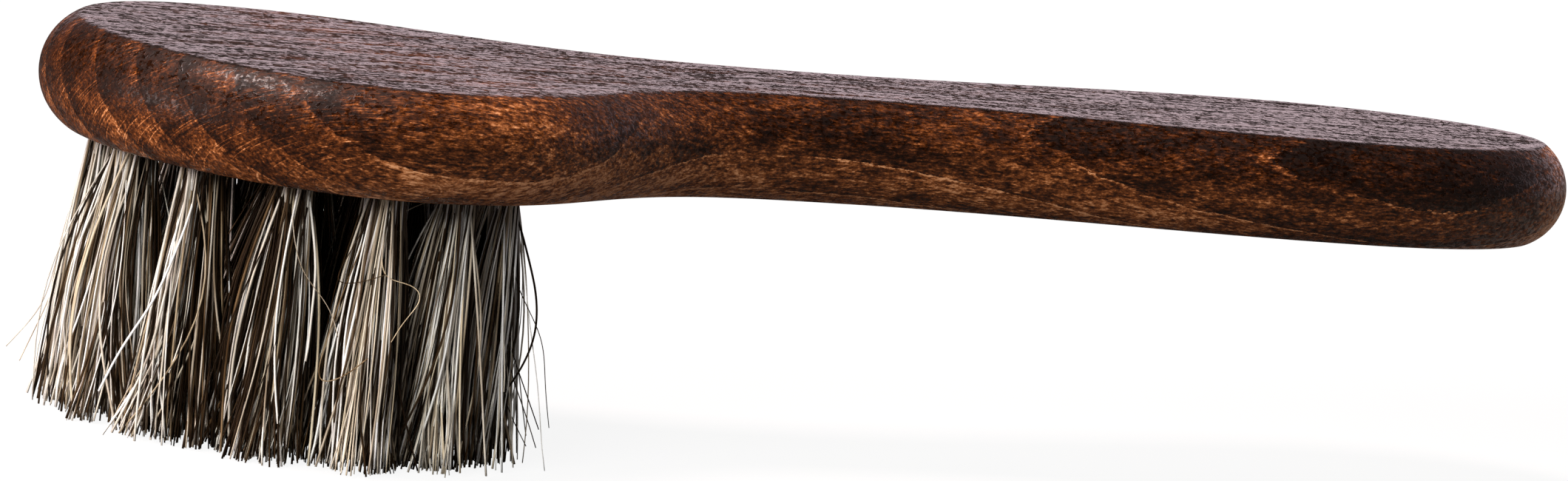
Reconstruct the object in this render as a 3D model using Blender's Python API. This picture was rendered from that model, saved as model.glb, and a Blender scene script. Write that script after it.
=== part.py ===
"""Applicator brush: a beech head and handle in one piece, filled with tufts of horsehair.

Metres, +Z up. +X runs from the head to the end of the handle, and Y across the brush.
The hair is trimmed flat at z = 0, and the board is centred over the origin.
"""

import math
import random

import bmesh
import bpy
from mathutils import Vector

MM = 0.001

# The board, flat on top and below. Its widths and lengths are those of its crisp edges.
BOARD_THICKNESS = 10.0 * MM
SIDE_BULGE = 3.0 * MM
HEAD_RADIUS = 21.2 * MM
SHOULDER_LENGTH = 27.5 * MM
SHOULDER_ROUNDNESS = 2.45
NECK_HALF_WIDTH = 7.3 * MM
NECK_AT = 79.0 * MM
GRIP_HALF_WIDTH = 11.6 * MM
GRIP_AT = 137.0 * MM
HANDLE_END_LENGTH = 27.0 * MM

# The holes for the hair, in two rings that follow the head, round one in the middle
HOLE_DIAMETER = 4.2 * MM
HOLE_SKIN = 2.2 * MM
DRILL_POINT = math.radians(118)
OUTER_RING_INSET = 4.4 * MM
RING_SPACING = 8.5 * MM
FILLED_TO = 41.0 * MM
OUTER_RING_TUFTS = 13
INNER_RING_TUFTS = 7

# The hair: each tuft is folded in half in its hole, and its strands fan out to the trim
HAIR_LENGTH = 25.0 * MM
STRANDS_PER_TUFT = 19
STRAND_SIDES = 3
STRAND_WIDTH = 0.40 * MM
STRAND_END_WIDTH = 0.32 * MM
STRAND_SINK = 0.4 * MM
STRAND_BOW = 0.25 * MM
OUTER_TUFT_LEAN = 1.3 * MM

# The anchors: flat wire, driven across the fold and into the wood on both sides of the hole
ANCHOR_THICKNESS = 0.4 * MM
ANCHOR_HEIGHT = 1.8 * MM
ANCHOR_BITE = 0.6 * MM
ANCHOR_POINT = 0.3 * MM
ANCHOR_BELOW_HOLE_END = 2.4 * MM

# Room between pieces: round a root or an anchor, and between the strands of two tufts
FIT_GAP = 0.3 * MM
TUFT_GAP = 0.3 * MM

# How finely the curves are faceted
HEAD_STEPS = 20
SIDE_STEPS = 34
END_STEPS = 13
BULGE_STEPS = 8
HOLE_SIDES = 10
RING_STEPS = 90

GOLDEN_ANGLE = math.radians(137.508)
OVERCUT = 0.5 * MM

BOARD_LENGTH = GRIP_AT + HANDLE_END_LENGTH
BOARD_CENTRE = Vector((BOARD_LENGTH / 2, 0.0))
HOLE_RADIUS = HOLE_DIAMETER / 2
ROOT_RADIUS = HOLE_RADIUS - FIT_GAP


def cone_height(radius):
    """Height of the cone that the drill's point leaves over a circle of this radius."""
    return radius / math.tan(DRILL_POINT / 2)


HOLE_DEPTH = BOARD_THICKNESS - HOLE_SKIN - cone_height(HOLE_RADIUS)
ANCHOR_HEIGHT_IN_HOLE = HOLE_DEPTH - ANCHOR_BELOW_HOLE_END
ANCHOR_LENGTH = HOLE_DIAMETER + 2 * ANCHOR_BITE


def clear_scene():
    for thing in list(bpy.data.objects):
        bpy.data.objects.remove(thing, do_unlink=True)


def make_material(name, colour, roughness, metallic=0.0):
    material = bpy.data.materials.new(name)
    material.use_nodes = True
    shader = material.node_tree.nodes["Principled BSDF"]
    shader.inputs["Base Color"].default_value = (*colour, 1.0)
    shader.inputs["Roughness"].default_value = roughness
    shader.inputs["Metallic"].default_value = metallic
    material.diffuse_color = (*colour, 1.0)
    return material


def place(name, mesh, location, parent):
    """An object that shows a mesh at a location."""
    thing = bpy.data.objects.new(name, mesh)
    bpy.context.scene.collection.objects.link(thing)
    thing.location = location
    thing.parent = parent
    return thing


def finished_mesh(name, bm, material=None):
    """A mesh from a bmesh of closed shapes, with every face turned outwards."""
    bmesh.ops.recalc_face_normals(bm, faces=bm.faces)
    mesh = bpy.data.meshes.new(name)
    bm.to_mesh(mesh)
    bm.free()
    if material:
        mesh.materials.append(material)
    return mesh


def combine(body, tool_bm, operation):
    """Cut a shape out of a body, or join it on, at the body's own place."""
    tool = place("tool", finished_mesh("tool", tool_bm), body.location, body.parent)
    tool.hide_render = True
    tool.display_type = "WIRE"
    step = body.modifiers.new("step", "BOOLEAN")
    step.operation = operation
    step.solver = "EXACT"
    step.object = tool
    scene_now = bpy.context.evaluated_depsgraph_get()
    result = bpy.data.meshes.new_from_object(body.evaluated_get(scene_now))
    body.modifiers.remove(step)
    before, name = body.data, body.data.name
    spent = tool.data
    body.data = result
    bpy.data.objects.remove(tool, do_unlink=True)
    bpy.data.meshes.remove(before)
    bpy.data.meshes.remove(spent)
    result.name = name


def ease(t):
    """Rises from 0 to 1 and is level at both ends."""
    t = min(max(t, 0.0), 1.0)
    return (1 - math.cos(math.pi * t)) / 2


def half_width(x):
    """Half the board's width at its crisp edges, x from the tip of the head."""
    if x <= HEAD_RADIUS:
        return math.sqrt(max(HEAD_RADIUS**2 - (HEAD_RADIUS - x) ** 2, 0.0))
    if x >= GRIP_AT:
        along = min((x - GRIP_AT) / HANDLE_END_LENGTH, 1.0)
        return GRIP_HALF_WIDTH * math.sqrt(1 - along**2)
    shoulder = math.exp(-(((x - HEAD_RADIUS) / SHOULDER_LENGTH) ** SHOULDER_ROUNDNESS))
    swell = ease((x - NECK_AT) / (GRIP_AT - NECK_AT))
    head_part = (HEAD_RADIUS - NECK_HALF_WIDTH) * shoulder
    grip_part = (GRIP_HALF_WIDTH - NECK_HALF_WIDTH) * swell
    return NECK_HALF_WIDTH + head_part + grip_part


def board_outline():
    """The board's crisp edge, once round, from the tip of the head."""
    turns = [math.pi / 2 * i / HEAD_STEPS for i in range(HEAD_STEPS)]
    stations = [HEAD_RADIUS * (1 - math.cos(turn)) for turn in turns]
    run = GRIP_AT - HEAD_RADIUS
    stations += [HEAD_RADIUS + run * i / SIDE_STEPS for i in range(SIDE_STEPS)]
    turns = [math.pi / 2 * i / END_STEPS for i in range(END_STEPS)]
    stations += [GRIP_AT + HANDLE_END_LENGTH * math.sin(turn) for turn in turns]
    near = [Vector((x, -half_width(x))) for x in stations] + [Vector((BOARD_LENGTH, 0.0))]
    far = [Vector((p.x, -p.y)) for p in reversed(near[1:-1])]
    return [p - BOARD_CENTRE for p in near + far]


def outward(loop, i):
    """The direction square to a closed outline at its point i."""
    along = loop[(i + 1) % len(loop)] - loop[i - 1]
    return Vector((along.y, -along.x)).normalized()


def side_profile():
    """The bulging side from its lower edge to its upper one, as (offset outwards, height)."""
    half = BOARD_THICKNESS / 2
    radius = (half**2 + SIDE_BULGE**2) / (2 * SIDE_BULGE)
    reach = math.acos((radius - SIDE_BULGE) / radius)
    profile = []
    for i in range(BULGE_STEPS + 1):
        angle = reach * (2 * i / BULGE_STEPS - 1)
        offset = radius * (math.cos(angle) - math.cos(reach))
        profile.append((offset, half + radius * math.sin(angle)))
    return profile


def board_shape():
    """The side profile carried round the outline, closed by the flat top and underside."""
    bm = bmesh.new()
    loop = board_outline()
    normals = [outward(loop, i) for i in range(len(loop))]
    rings = []
    for offset, z in side_profile():
        ring = [bm.verts.new((*(p + n * offset), z)) for p, n in zip(loop, normals)]
        rings.append(ring)
    for lower, upper in zip(rings, rings[1:]):
        for i, corner in enumerate(lower):
            k = (i + 1) % len(lower)
            bm.faces.new((corner, lower[k], upper[k], upper[i]))
    bm.faces.new(rings[0])
    bm.faces.new(rings[-1])
    return bm


def add_turned(bm, centre, profile):
    """A closed turned shape about an upright axis. The profile's first and last radius are 0."""
    levels = []
    for radius, z in profile:
        if radius == 0:
            levels.append([bm.verts.new((centre.x, centre.y, z))])
            continue
        turns = [2 * math.pi * i / HOLE_SIDES for i in range(HOLE_SIDES)]
        spots = [(centre.x + radius * math.cos(a), centre.y + radius * math.sin(a)) for a in turns]
        levels.append([bm.verts.new((x, y, z)) for x, y in spots])
    for lower, upper in zip(levels, levels[1:]):
        for i in range(HOLE_SIDES):
            k = (i + 1) % HOLE_SIDES
            corners = (lower[i % len(lower)], lower[k % len(lower)])
            corners += (upper[k % len(upper)], upper[i % len(upper)])
            bm.faces.new(list(dict.fromkeys(corners)))


def add_box(bm, centre, size):
    """A closed box about a point."""
    corners = bmesh.ops.create_cube(bm, size=1.0)["verts"]
    bmesh.ops.scale(bm, vec=size, verts=corners)
    bmesh.ops.translate(bm, vec=centre, verts=corners)


def add_drilling(bm, centre):
    """A blind hole, open at the underside, with the cone that a drill leaves."""
    tip = HOLE_DEPTH + cone_height(HOLE_RADIUS)
    profile = [(0, -OVERCUT), (HOLE_RADIUS, -OVERCUT), (HOLE_RADIUS, HOLE_DEPTH), (0, tip)]
    add_turned(bm, centre, profile)


def add_anchor_room(bm, centre):
    """The slot that an anchor sits in, through the fold and into the wood beside it."""
    place_in_hole = Vector((centre.x, centre.y, ANCHOR_HEIGHT_IN_HOLE))
    room = 2 * FIT_GAP
    size = (ANCHOR_LENGTH + room, ANCHOR_THICKNESS + room, ANCHOR_HEIGHT + room)
    add_box(bm, place_in_hole, size)


def ring_path(inset):
    """A closed path inside the head's outline: half a circle in front and half an oval behind."""
    side = HEAD_RADIUS - inset
    rear = FILLED_TO - HEAD_RADIUS - (inset - OUTER_RING_INSET)
    turns = [math.pi / 2 * i / RING_STEPS for i in range(RING_STEPS)]
    near = [Vector((HEAD_RADIUS - side * math.cos(a), -side * math.sin(a))) for a in turns]
    near += [Vector((HEAD_RADIUS + rear * math.sin(a), -side * math.cos(a))) for a in turns]
    near.append(Vector((HEAD_RADIUS + rear, 0.0)))
    far = [Vector((p.x, -p.y)) for p in reversed(near[:-1])]
    return near + far


def evenly_along(path, count):
    """Points at equal distances along a closed path, from its first point."""
    steps = [(b - a).length for a, b in zip(path, path[1:])]
    pitch = sum(steps) / count
    spots = []
    done = 0.0
    for start, end, step in zip(path, path[1:], steps):
        while len(spots) < count and len(spots) * pitch <= done + step:
            spots.append(start.lerp(end, (len(spots) * pitch - done) / step))
        done += step
    return spots


def tuft_places():
    """Name, centre and lean of each tuft, on the board's underside."""
    rings = [("outer", OUTER_RING_INSET, OUTER_RING_TUFTS, OUTER_TUFT_LEAN)]
    rings.append(("inner", OUTER_RING_INSET + RING_SPACING, INNER_RING_TUFTS, 0.0))
    places = []
    for ring, inset, count, lean in rings:
        path = ring_path(inset)
        middle = (path[0] + path[len(path) // 2]) / 2
        for i, spot in enumerate(evenly_along(path, count)):
            away = (spot - middle).normalized() * lean
            places.append((f"{ring}_{i + 1:02d}", spot - BOARD_CENTRE, away))
    places.append(("centre", middle - BOARD_CENTRE, Vector((0.0, 0.0))))
    return places


def add_strand(bm, root, bow, end, turn):
    """A strand of hair as a thin prism of three rings, cut level at the trim."""
    levels = [(root, STRAND_SINK, STRAND_WIDTH)]
    middle_width = (STRAND_WIDTH + STRAND_END_WIDTH) / 2
    levels.append(((root + end) / 2 + bow, -HAIR_LENGTH / 2, middle_width))
    levels.append((end, -HAIR_LENGTH, STRAND_END_WIDTH))
    rings = []
    for centre, z, width in levels:
        radius = width / 2 / math.sin(math.pi / STRAND_SIDES)
        ring = []
        for i in range(STRAND_SIDES):
            angle = turn + 2 * math.pi * i / STRAND_SIDES
            x = centre.x + radius * math.cos(angle)
            ring.append(bm.verts.new((x, centre.y + radius * math.sin(angle), z)))
        rings.append(ring)
    for lower, upper in zip(rings, rings[1:]):
        for i in range(STRAND_SIDES):
            k = (i + 1) % STRAND_SIDES
            bm.faces.new((lower[i], lower[k], upper[k], upper[i]))
    bm.faces.new(rings[0])
    bm.faces.new(rings[-1])


def add_fan(bm, reach, away, chance):
    """The strands of a tuft. They lie like seeds in a sunflower, so that none cross."""
    strand_radius = STRAND_WIDTH / 2 / math.sin(math.pi / STRAND_SIDES)
    root_reach = ROOT_RADIUS - strand_radius
    start = chance.uniform(0, 2 * math.pi)
    for i in range(STRANDS_PER_TUFT):
        angle = start + i * GOLDEN_ANGLE
        share = math.sqrt((i + 0.5) / STRANDS_PER_TUFT)
        direction = Vector((math.cos(angle), math.sin(angle)))
        root = direction * share * root_reach
        end = direction * share * (reach - strand_radius) + away
        bow = direction * share * STRAND_BOW
        add_strand(bm, root, bow, end, chance.uniform(0, 2 * math.pi))


def make_tuft(name, centre, away, reach, chance, hair, brush):
    """A tuft: its root fills the hole and goes round the anchor, and its strands hang below."""
    shoulder = HOLE_DEPTH - FIT_GAP
    tip = shoulder + cone_height(ROOT_RADIUS)
    middle = Vector((0.0, 0.0))
    bm = bmesh.new()
    add_turned(bm, middle, [(0, 0), (ROOT_RADIUS, 0), (ROOT_RADIUS, shoulder), (0, tip)])
    mouth = (centre.x, centre.y, HAIR_LENGTH)
    tuft = place(f"tuft_{name}", finished_mesh("tuft", bm, hair), mouth, brush)
    window = bmesh.new()
    add_anchor_room(window, middle)
    combine(tuft, window, "DIFFERENCE")
    fan = bmesh.new()
    add_fan(fan, reach, away, chance)
    combine(tuft, fan, "UNION")


def anchor_mesh(steel):
    """A length of flat wire on edge, with both ends cut to a blunt point."""
    half_length = ANCHOR_LENGTH / 2
    half_height = ANCHOR_HEIGHT / 2
    shoulder = half_length - ANCHOR_POINT
    upper = [(half_length, 0), (shoulder, half_height), (-shoulder, half_height)]
    corners = upper + [(-x, -z) for x, z in upper]
    bm = bmesh.new()
    near = bm.faces.new([bm.verts.new((x, -ANCHOR_THICKNESS / 2, z)) for x, z in corners])
    grown = bmesh.ops.extrude_face_region(bm, geom=[near])["geom"]
    moved = [item for item in grown if isinstance(item, bmesh.types.BMVert)]
    bmesh.ops.translate(bm, vec=(0, ANCHOR_THICKNESS, 0), verts=moved)
    return finished_mesh("anchor", bm, steel)


def make_board(places, beech, brush):
    """The beech board, with a blind hole and an anchor's slot for each tuft."""
    underside = (0.0, 0.0, HAIR_LENGTH)
    board = place("handle_board", finished_mesh("board", board_shape(), beech), underside, brush)
    holes = bmesh.new()
    slots = bmesh.new()
    for _, centre, _ in places:
        add_drilling(holes, centre)
        add_anchor_room(slots, centre)
    combine(board, holes, "DIFFERENCE")
    combine(board, slots, "DIFFERENCE")
    board.data.shade_smooth()
    board.data.set_sharp_from_angle(angle=math.radians(20))


def main():
    clear_scene()
    beech = make_material("stained_beech", (0.13, 0.05, 0.024), 0.42)
    hair = make_material("horsehair", (0.42, 0.36, 0.29), 0.55)
    steel = make_material("anchor_wire", (0.62, 0.61, 0.58), 0.35, metallic=1.0)
    brush = bpy.data.objects.new("brush", None)
    bpy.context.scene.collection.objects.link(brush)

    places = tuft_places()
    make_board(places, beech, brush)
    anchor = anchor_mesh(steel)
    chance = random.Random(11)
    for name, centre, away in places:
        nearest = min((centre - other).length for _, other, _ in places if other != centre)
        reach = (nearest - TUFT_GAP) / 2
        make_tuft(name, centre, away, reach, chance, hair, brush)
        height = HAIR_LENGTH + ANCHOR_HEIGHT_IN_HOLE
        place(f"anchor_{name}", anchor, (centre.x, centre.y, height), brush)


main()
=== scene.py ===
# %% [markdown]
# The looks of an applicator brush, as a lesson for someone who is learning Blender.
#
# The real brush is three things: a board of beech that is head and handle in one, tufts of
# horsehair folded into holes in it, and a short flat wire across each fold. The construction is
# already there as a fixed frame of solids. This file gives them the looks: a board with softened
# edges and stained grain, and thousands of real hairs in place of the plain strands.
#
# Everything is in metres, +Z up, with the hair's trim at z = 0. +X runs from head to handle.

# %% Load the fixed frame
import math

import bmesh
import bpy
import numpy as np
from mathutils import Matrix, Vector


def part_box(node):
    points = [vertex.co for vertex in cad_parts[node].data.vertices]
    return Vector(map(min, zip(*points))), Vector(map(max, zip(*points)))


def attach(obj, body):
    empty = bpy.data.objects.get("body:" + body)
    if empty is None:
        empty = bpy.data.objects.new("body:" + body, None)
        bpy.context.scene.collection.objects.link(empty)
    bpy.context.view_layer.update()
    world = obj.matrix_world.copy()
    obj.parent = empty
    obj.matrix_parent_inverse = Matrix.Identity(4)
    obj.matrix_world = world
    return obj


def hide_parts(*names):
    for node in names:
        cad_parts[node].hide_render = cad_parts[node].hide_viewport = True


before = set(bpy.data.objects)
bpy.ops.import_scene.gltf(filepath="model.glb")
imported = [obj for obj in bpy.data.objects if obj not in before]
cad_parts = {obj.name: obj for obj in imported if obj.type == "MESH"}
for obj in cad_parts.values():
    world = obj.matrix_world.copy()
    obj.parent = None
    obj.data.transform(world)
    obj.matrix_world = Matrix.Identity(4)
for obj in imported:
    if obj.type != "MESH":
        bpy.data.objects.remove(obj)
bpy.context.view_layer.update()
MM = 0.001
print("frame pieces:", len(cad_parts))

# %% [markdown]
# The camera stands where the photographer stood: near the head's left, a little above the
# board, with a long lens. The brush leans down to the right in the picture because the camera
# is rolled, not the brush. Three angles and a distance say all this, so the camera's axes are
# worked out from them instead of being dragged into place by hand.

# %% The camera
CAMERA_YAW = math.radians(35.49)
CAMERA_HEIGHT_ANGLE = math.radians(8.06)
CAMERA_ROLL = math.radians(9.245)
CAMERA_DISTANCE = 848.4 * MM
CAMERA_TARGET = Vector((-6.25, -0.41, 20.04)) * MM
LENS = 207.6
SENSOR_WIDTH = 36.0

level = math.cos(CAMERA_HEIGHT_ANGLE)
towards_camera = Vector((-math.sin(CAMERA_YAW) * level, -math.cos(CAMERA_YAW) * level,
                         math.sin(CAMERA_HEIGHT_ANGLE)))
right = Vector((0, 0, 1)).cross(towards_camera).normalized()
up = towards_camera.cross(right)
turn = Matrix.Rotation(CAMERA_ROLL, 3, towards_camera)
right, up = turn @ right, turn @ up

camera = bpy.data.objects.new("camera", bpy.data.cameras.new("camera"))
bpy.context.scene.collection.objects.link(camera)
axes = Matrix((right, up, towards_camera)).transposed()
spot = CAMERA_TARGET + towards_camera * CAMERA_DISTANCE
camera.matrix_world = Matrix.Translation(spot) @ axes.to_4x4()
camera.data.lens = LENS
camera.data.sensor_width = SENSOR_WIDTH
camera.data.clip_start = 0.01
bpy.context.scene.camera = camera
print("camera at", [round(c, 3) for c in spot])

# %% [markdown]
# Shader nodes are placed by short helpers, so that each material below reads as a list of steps.
# An input is given by its name, or by its number after a line such as _0, and it may be a
# number, a colour or another node's output.

# %% Place a node
def add(tree, kind, settings=None, **inputs):
    """Adds a node, sets its properties, and fills its inputs by name with values or outputs."""
    made = tree.nodes.new(kind)
    for name, value in (settings or {}).items():
        setattr(made, name, value)
    for name, value in inputs.items():
        key = int(name[1:]) if name[0] == "_" else name.replace("_", " ")
        if isinstance(value, bpy.types.NodeSocket):
            tree.links.new(value, made.inputs[key])
        else:
            made.inputs[key].default_value = value
    return made


# %% [markdown]
# Most of what follows is done with masks: numbers from 0 to 1 over a surface, which say where
# something shows. They are multiplied to narrow a mark down, added with weights to build up a
# tone, and given soft borders by a smooth step.

# %% Helpers for masks
def maths(tree, operation, *values):
    """One Math node. Its inputs are taken in order."""
    inputs = {f"_{i}": value for i, value in enumerate(values)}
    return add(tree, "ShaderNodeMath", {"operation": operation}, **inputs).outputs[0]


def times(tree, value, *others):
    """Multiplies masks, so that a mark shows only where all of them do."""
    for other in others:
        value = maths(tree, "MULTIPLY", value, other)
    return value


def weighed(tree, value, *terms):
    """A starting value plus each mask times its weight."""
    for weight, mask in terms:
        value = maths(tree, "MULTIPLY_ADD", mask, weight, value)
    return value


def spread(tree, value, low, high, to_low=0.0, to_high=1.0):
    """A smooth step: value from low to high becomes to_low to to_high."""
    made = add(tree, "ShaderNodeMapRange", {"interpolation_type": "SMOOTHSTEP"}, Value=value,
               From_Min=low, From_Max=high, To_Min=to_low, To_Max=to_high)
    return made.outputs["Result"]


# %% A helper for colours
def mix(tree, share, a, b, blend="MIX"):
    """Mixes two colours. share is how much of b shows."""
    made = tree.nodes.new("ShaderNodeMix")
    made.data_type = "RGBA"
    made.blend_type = blend
    for socket, value in ((made.inputs[0], share), (made.inputs[6], a), (made.inputs[7], b)):
        if isinstance(value, bpy.types.NodeSocket):
            tree.links.new(value, socket)
        else:
            socket.default_value = value
    return made.outputs[2]


# %% [markdown]
# The studio, read from the photo's own reflections. Varnished wood shows what it faces: the
# flat top, seen at a low angle, shows a pale backdrop far behind and to the right, the head's
# left end shows a bright panel, and the rest of the near side a dark room. So the world gives
# each kind of ray what it needs: white to the camera, this painted room to reflections, and one
# even soft level to everything that is lit.
#
# The panel could be a lamp that shows in the varnish. But a lamp has hard edges, and the flat
# top would mirror it as a burnt patch when the brush is seen from its handle. Painted into the
# world, with edges that fade, it looks right from every side.
#
# Cycles can also sample a world as if it were a lamp, but then it doesn't know what kind of ray
# asks. That is switched off here, or the reflections would show the even level instead.

# %% A soft-edged sheet in the room
def soft_sheet(tree, direction, way, side_fades, top_fades):
    """A mask for a sheet that stands that way, and fades out at its sides and its top."""
    facing = add(tree, "ShaderNodeVectorMath", {"operation": "DOT_PRODUCT"}, _0=direction, _1=way)
    height = add(tree, "ShaderNodeSeparateXYZ", None, Vector=direction).outputs["Z"]
    across = spread(tree, facing.outputs["Value"], *side_fades)
    return times(tree, across, spread(tree, height, *top_fades))


# %% The world
WHITE = (1, 1, 1, 1)
FILL_GREY = (0.18, 0.18, 0.18, 1)
ROOM_GREY = (0.013, 0.013, 0.013, 1)
BACKDROP_COLOUR = (1.05, 0.81, 0.87, 1)
BACKDROP_AZIMUTH = math.radians(54)
BACKDROP_WAY = (math.sin(BACKDROP_AZIMUTH), math.cos(BACKDROP_AZIMUTH), 0.0)
PANEL_COLOUR = (6.00, 4.90, 4.70, 1)
PANEL_WAY = (-0.996, 0.090, 0.0)

world = bpy.data.worlds.new("studio")
bpy.context.scene.world = world
world.use_nodes = True
world.cycles.sampling_method = "NONE"
tree = world.node_tree
direction = add(tree, "ShaderNodeTexCoord").outputs["Generated"]
backdrop = soft_sheet(tree, direction, BACKDROP_WAY, side_fades=(0.66, 0.94), top_fades=(0.52, 0.22))
panel = soft_sheet(tree, direction, PANEL_WAY, side_fades=(0.88, 0.97), top_fades=(0.38, 0.20))
reflected = mix(tree, backdrop, ROOM_GREY, BACKDROP_COLOUR)
reflected = mix(tree, panel, reflected, PANEL_COLOUR)
path = add(tree, "ShaderNodeLightPath").outputs
lit = mix(tree, path["Is Glossy Ray"], FILL_GREY, reflected)
seen_through = maths(tree, "MAXIMUM", path["Is Camera Ray"], path["Is Transmission Ray"])
tree.links.new(mix(tree, seen_through, lit, WHITE), tree.nodes["Background"].inputs["Color"])
bpy.context.scene.view_settings.view_transform = "Standard"
print("world nodes:", len(tree.nodes))

# %% [markdown]
# Three lamps. The softbox hangs over the head's left, and it alone is seen in the varnish, as a
# small highlight just below the head's edge. The left panel gives the light that belongs to the
# panel painted above, and the front fill comes from the camera's side and lifts the hair. Both
# are hidden from reflections: a photographer would flag them off the wood.

# %% Lamps
def lamp(name, place, size, power, colour, in_reflections=True):
    """A square area lamp, turned to face the middle of the head."""
    made = bpy.data.objects.new(name, bpy.data.lights.new(name, "AREA"))
    bpy.context.scene.collection.objects.link(made)
    made.data.size = size
    made.data.energy = power
    made.data.color = colour
    made.location = place
    made.rotation_euler = (Vector(place) - HEAD_MIDDLE).to_track_quat("Z", "Y").to_euler()
    made.visible_camera = False
    made.visible_glossy = in_reflections
    print("lamp:", name, power, "W")


HEAD_MIDDLE = Vector((-0.060, 0.0, 0.030))
ROSY = (1.00, 0.81, 0.77)
PLAIN = (1.00, 0.98, 0.95)
lamp("softbox", (-0.190, 0.010, 0.60), size=0.19, power=3.9, colour=ROSY)
lamp("left_panel", (-0.715, 0.055, 0.20), size=0.42, power=4.4, colour=ROSY, in_reflections=False)
lamp("front_fill", (-0.85, -0.50, 0.42), size=0.36, power=11.0, colour=PLAIN, in_reflections=False)

# %% [markdown]
# The floor is one plain sheet. The camera sees it brighter than the lamps make it, so that it
# nearly reaches the photo's white while the brush's shadow still shows, and the glow rises to
# full white farther out, where there is no shadow to keep. In the varnish the floor is dark, but
# past the handle it has a warm sheen, which gives the handle's end the haze that it has in the
# photo.

# %% The floor's sheet
FLOOR_SIZE = 40.0

sheet = bmesh.new()
bmesh.ops.create_grid(sheet, x_segments=1, y_segments=1, size=FLOOR_SIZE / 2)
floor = bpy.data.objects.new("floor", bpy.data.meshes.new("floor"))
sheet.to_mesh(floor.data)
sheet.free()
bpy.context.scene.collection.objects.link(floor)
print("floor:", FLOOR_SIZE, "m wide")


# %% The floor's material
def new_material(name):
    """A material with a Principled shader, and its tree and shader to work on."""
    material = bpy.data.materials.new(name)
    material.use_nodes = True
    return material, material.node_tree, material.node_tree.nodes["Principled BSDF"]


FLOOR_COLOUR = (0.10, 0.10, 0.10, 1)
FLOOR_GLOW = 0.90
GLOW_RISES = (0.12, 0.40)
DARK_SHEEN = 0.015
HANDLE_SHEEN = 0.22
SHEEN_RISES = (0.08, 0.15)
SHEEN_COLOUR = (1.0, 0.72, 0.56, 1)

material, tree, shader = new_material("pale_table")
shader.inputs["Base Color"].default_value = FLOOR_COLOUR
shader.inputs["Roughness"].default_value = 1.0
shader.inputs["Specular IOR Level"].default_value = 0.0
here = add(tree, "ShaderNodeTexCoord").outputs["Object"]
along = add(tree, "ShaderNodeSeparateXYZ", None, Vector=here).outputs["X"]
distance = add(tree, "ShaderNodeVectorMath", {"operation": "LENGTH"}, _0=here).outputs["Value"]
path = add(tree, "ShaderNodeLightPath").outputs
in_view = maths(tree, "MAXIMUM", path["Is Camera Ray"], path["Is Transmission Ray"])
sheen = weighed(tree, DARK_SHEEN, (HANDLE_SHEEN, spread(tree, along, *SHEEN_RISES)))
bright = weighed(tree, in_view, (sheen, path["Is Glossy Ray"]))
glow = spread(tree, distance, *GLOW_RISES, FLOOR_GLOW, 1.0)
tree.links.new(mix(tree, path["Is Glossy Ray"], WHITE, SHEEN_COLOUR), shader.inputs["Emission Color"])
tree.links.new(times(tree, bright, glow), shader.inputs["Emission Strength"])
floor.data.materials.append(material)
print("floor material:", material.name)

# %% [markdown]
# The board. Its outline is half a circle for the head, a shoulder that dies away into a thin
# neck, a slow swell for the grip, and half an oval for the end. A formula gives the width at
# any station, so the edge is as smooth as we like. The frame's own board has this outline in
# fewer steps.

# %% Half the board's width at a station
BOARD_THICKNESS = 10.0 * MM
SIDE_BULGE = 3.0 * MM
HEAD_RADIUS = 21.2 * MM
SHOULDER_LENGTH = 27.5 * MM
SHOULDER_ROUNDNESS = 2.45
NECK_HALF_WIDTH = 7.3 * MM
NECK_AT = 79.0 * MM
GRIP_HALF_WIDTH = 11.6 * MM
GRIP_AT = 137.0 * MM
HANDLE_END_LENGTH = 27.0 * MM
BOARD_LENGTH = GRIP_AT + HANDLE_END_LENGTH
HAIR_LENGTH = 25.0 * MM


def ease(t):
    """Rises from 0 to 1 and is level at both ends."""
    t = min(max(t, 0.0), 1.0)
    return (1 - math.cos(math.pi * t)) / 2


def half_width(x):
    """Half the board's width at its upper edge, x from the tip of the head."""
    if x <= HEAD_RADIUS:
        return math.sqrt(max(HEAD_RADIUS**2 - (HEAD_RADIUS - x) ** 2, 0.0))
    if x >= GRIP_AT:
        along = min((x - GRIP_AT) / HANDLE_END_LENGTH, 1.0)
        return GRIP_HALF_WIDTH * math.sqrt(1 - along**2)
    shoulder = math.exp(-(((x - HEAD_RADIUS) / SHOULDER_LENGTH) ** SHOULDER_ROUNDNESS))
    swell = ease((x - NECK_AT) / (GRIP_AT - NECK_AT))
    head_part = (HEAD_RADIUS - NECK_HALF_WIDTH) * shoulder
    grip_part = (GRIP_HALF_WIDTH - NECK_HALF_WIDTH) * swell
    return NECK_HALF_WIDTH + head_part + grip_part


print("width at the neck:", round(2 * half_width(NECK_AT) / MM, 1), "mm")

# %% The outline, once round
HEAD_STEPS = 60
SIDE_STEPS = 150
END_STEPS = 44


def board_outline():
    """The upper edge as a closed loop of points, from the tip of the head."""
    stations = [HEAD_RADIUS * (1 - math.cos(math.pi / 2 * i / HEAD_STEPS)) for i in range(HEAD_STEPS)]
    run = GRIP_AT - HEAD_RADIUS
    stations += [HEAD_RADIUS + run * i / SIDE_STEPS for i in range(SIDE_STEPS)]
    turns = [math.pi / 2 * i / END_STEPS for i in range(END_STEPS)]
    stations += [GRIP_AT + HANDLE_END_LENGTH * math.sin(turn) for turn in turns]
    near = [Vector((x, -half_width(x))) for x in stations] + [Vector((BOARD_LENGTH, 0.0))]
    far = [Vector((p.x, -p.y)) for p in reversed(near[1:-1])]
    return [p - Vector((BOARD_LENGTH / 2, 0.0)) for p in near + far]


outline = board_outline()
print("outline points:", len(outline))

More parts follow.
